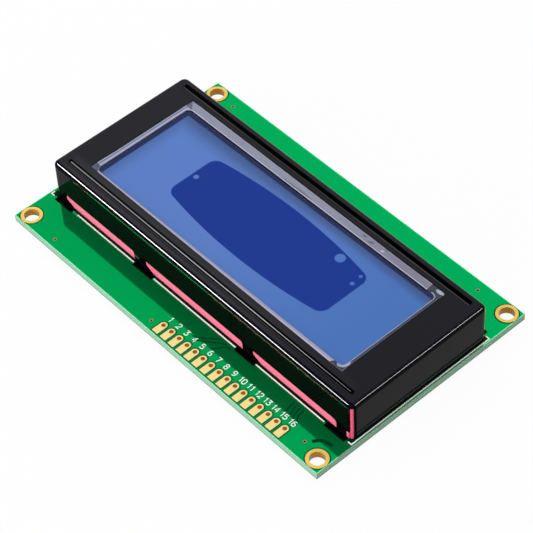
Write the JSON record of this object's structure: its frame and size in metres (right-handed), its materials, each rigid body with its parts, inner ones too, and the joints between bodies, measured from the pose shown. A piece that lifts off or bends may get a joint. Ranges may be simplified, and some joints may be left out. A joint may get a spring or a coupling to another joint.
{
  "type": "character lcd module",
  "caption": "Character display module: black folded metal bezel with a blue liquid crystal window on a green circuit board with plated mounting holes and a row of pin holes.",
  "frame": {"origin": "centre of the four mounting holes, on the back face of the circuit board", "axes": "+X along the board's long side, towards the end of the pin row with the highest number; +Y away from the pin row; +Z out of the display"},
  "size_m": [0.0984, 0.0604, 0.0139],
  "materials": {
    "solder_mask": "glossy green mask over glass-fibre laminate",
    "gold_plating": "thin pale gold plating, satin",
    "black_lacquer": "glossy black lacquer on folded steel sheet",
    "film": "clear protective film, glossy, a little crinkled",
    "polarizer": "blue polarizer, smooth",
    "cell_glass": "clear polished glass",
    "seal": "cured seal line",
    "pink_rubber": "pink silicone rubber, satin",
    "white_plastic": "white, matte",
    "clear_plastic": "clear moulded plastic",
    "laminate": "bare laminate with a white mask",
    "led_body": "moulded diode body with a pale yellow window",
    "solder": "bright tinned metal",
    "resin": "black resin, semi-gloss",
    "resistor_body": "black ceramic chip with tinned ends",
    "capacitor_body": "tan ceramic chip with tinned ends"
  },
  "bodies": {
    "root": {"circuit_board": "solder_mask", "mounting_ring_front_left": "gold_plating", "mounting_ring_front_right": "gold_plating", "mounting_ring_rear_right": "gold_plating", "mounting_ring_rear_left": "gold_plating", "pin_pad_01": "gold_plating", "pin_pad_02": "gold_plating", "pin_pad_03": "gold_plating", "pin_pad_04": "gold_plating", "pin_pad_05": "gold_plating", "pin_pad_06": "gold_plating", "pin_pad_07": "gold_plating", "pin_pad_08": "gold_plating", "pin_pad_09": "gold_plating", "pin_pad_10": "gold_plating", "pin_pad_11": "gold_plating", "pin_pad_12": "gold_plating", "pin_pad_13": "gold_plating", "pin_pad_14": "gold_plating", "pin_pad_15": "gold_plating", "pin_pad_16": "gold_plating", "test_hole_barrels": "gold_plating", "bezel": "black_lacquer", "protective_film": "film", "front_polarizer": "polarizer", "front_glass": "cell_glass", "cell_seal": "seal", "rear_glass": "cell_glass", "rear_polarizer": "polarizer", "contact_strip_front": "pink_rubber", "contact_strip_rear": "pink_rubber", "diffuser_sheet": "white_plastic", "light_guide": "clear_plastic", "reflector_sheet": "white_plastic", "backlight_housing": "white_plastic", "led_strip": "laminate", "backlight_led_1": "led_body", "backlight_led_2": "led_body", "backlight_led_3": "led_body", "backlight_led_4": "led_body", "backlight_lead_anode": "solder", "backlight_lead_cathode": "solder", "solder_joint_anode": "solder", "solder_joint_cathode": "solder", "controller_dome": "resin", "driver_dome_left": "resin", "driver_dome_right": "resin", "resistor_1": "resistor_body", "resistor_2": "resistor_body", "resistor_3": "resistor_body", "resistor_4": "resistor_body", "resistor_5": "resistor_body", "resistor_6": "resistor_body", "capacitor_1": "capacitor_body", "capacitor_2": "capacitor_body"}
  },
  "joints": []
}
